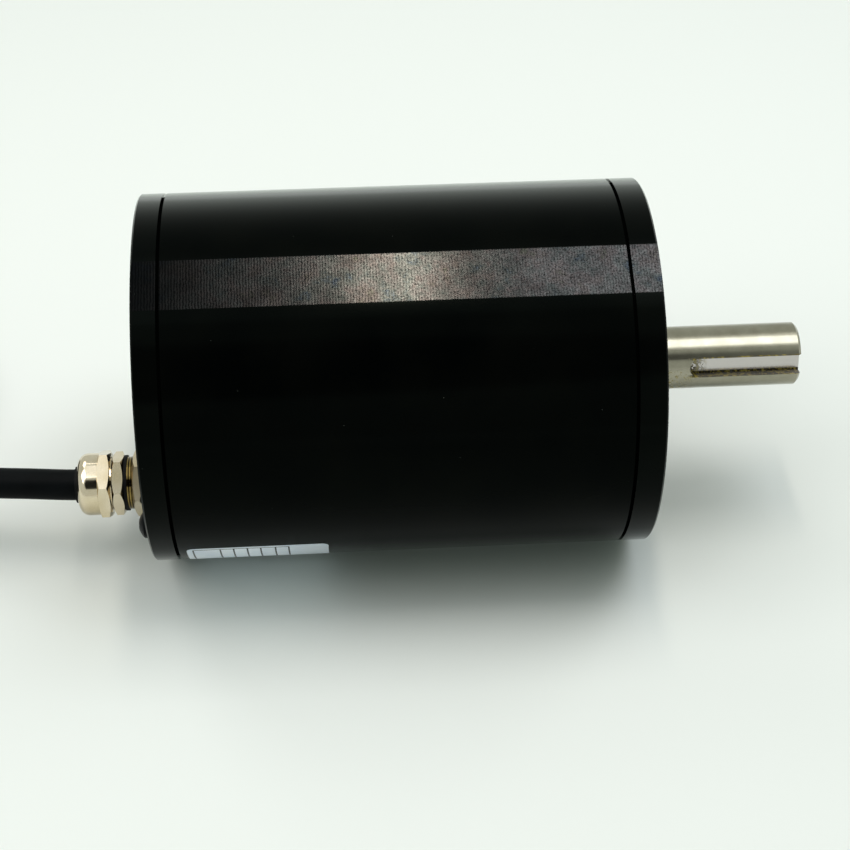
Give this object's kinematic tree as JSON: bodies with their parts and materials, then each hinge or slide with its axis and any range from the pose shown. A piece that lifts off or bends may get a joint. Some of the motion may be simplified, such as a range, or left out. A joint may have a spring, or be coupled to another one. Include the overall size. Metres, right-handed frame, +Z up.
{
  "type": "brushless dc motor",
  "caption": "Round black DC motor with a keyed output shaft, screwed end caps and a flying lead from a cable gland in the rear cap.",
  "frame": {"origin": "centre of the front mounting face, on the shaft's axis", "axes": "+X out along the output shaft, +Z up with the motor lying on its side, +Y away from the picture's camera"},
  "size_m": [0.3815, 0.152, 0.11],
  "materials": {
    "black_anodised": "satin black anodise",
    "ground_steel": "ground, light oil film",
    "black_oxide_steel": "black oxide",
    "bearing_steel": "polished",
    "spring_steel": "satin",
    "lamination_steel": "varnished",
    "magnet": "nickel coated",
    "rotor_sleeve_steel": "satin",
    "balance_brass": "turned",
    "nickel_brass": "bright nickel plate",
    "copper_winding": "enamelled",
    "tinned_copper": "tinned",
    "black_rubber": "matte",
    "cable_jacket": "satin extruded",
    "core_insulation": "satin extruded",
    "ivory_plastic": "moulded",
    "dark_plastic": "moulded",
    "board_laminate": "solder mask"
  },
  "bodies": {
    "housing": {"housing_tube": "black_anodised", "front_cap": "black_anodised", "rear_cap": "black_anodised", "front_cap_screws": "black_oxide_steel", "rear_cap_screws": "black_oxide_steel", "earth_screw": "black_oxide_steel", "front_cap_o_ring": "black_rubber", "rear_cap_o_ring": "black_rubber", "shaft_seal": "black_rubber", "bearing_circlip": "spring_steel", "wave_washer": "spring_steel", "front_bearing_outer": "bearing_steel", "front_bearing_shields": "spring_steel", "rear_bearing_outer": "bearing_steel", "rear_bearing_shields": "spring_steel", "stator_core": "lamination_steel", "stator_insulators": "ivory_plastic", "windings": "copper_winding", "sensor_board": "board_laminate", "hall_sensors": "dark_plastic", "board_screws": "bearing_steel", "gland_locknut": "nickel_brass", "gland_gasket": "black_rubber", "gland_body": "nickel_brass", "gland_claw": "dark_plastic", "gland_seal": "black_rubber", "gland_dome_nut": "nickel_brass", "inner_leads": "core_insulation", "cable_entry": "cable_jacket", "cable_run": "cable_jacket", "cable_coil": "cable_jacket", "cable_cores": "core_insulation", "core_tips": "tinned_copper"},
    "rotor": {"shaft": "ground_steel", "front_bearing_inner": "bearing_steel", "rear_bearing_inner": "bearing_steel", "rotor_core": "lamination_steel", "rotor_magnets": "magnet", "rotor_sleeve": "rotor_sleeve_steel", "rotor_end_rings": "balance_brass"},
    "front_cage": {"front_bearing_cage": "balance_brass", "front_bearing_balls": "bearing_steel"},
    "rear_cage": {"rear_bearing_cage": "balance_brass", "rear_bearing_balls": "bearing_steel"}
  },
  "joints": [
    {"name": "shaft_spin", "type": "hinge", "parent": "housing", "child": "rotor", "pos_m": [0, 0, 0], "axis": [1, 0, 0], "continuous": true},
    {"name": "front_cage_spin", "type": "hinge", "parent": "housing", "child": "front_cage", "pos_m": [-0.0135, 0, 0], "axis": [1, 0, 0], "continuous": true},
    {"name": "rear_cage_spin", "type": "hinge", "parent": "housing", "child": "rear_cage", "pos_m": [-0.1344, 0, 0], "axis": [1, 0, 0], "continuous": true}
  ],
  "couplings": [
    {"joint": "front_cage_spin", "follows": "shaft_spin", "ratio": 0.3815},
    {"joint": "rear_cage_spin", "follows": "shaft_spin", "ratio": 0.3813}
  ]
}
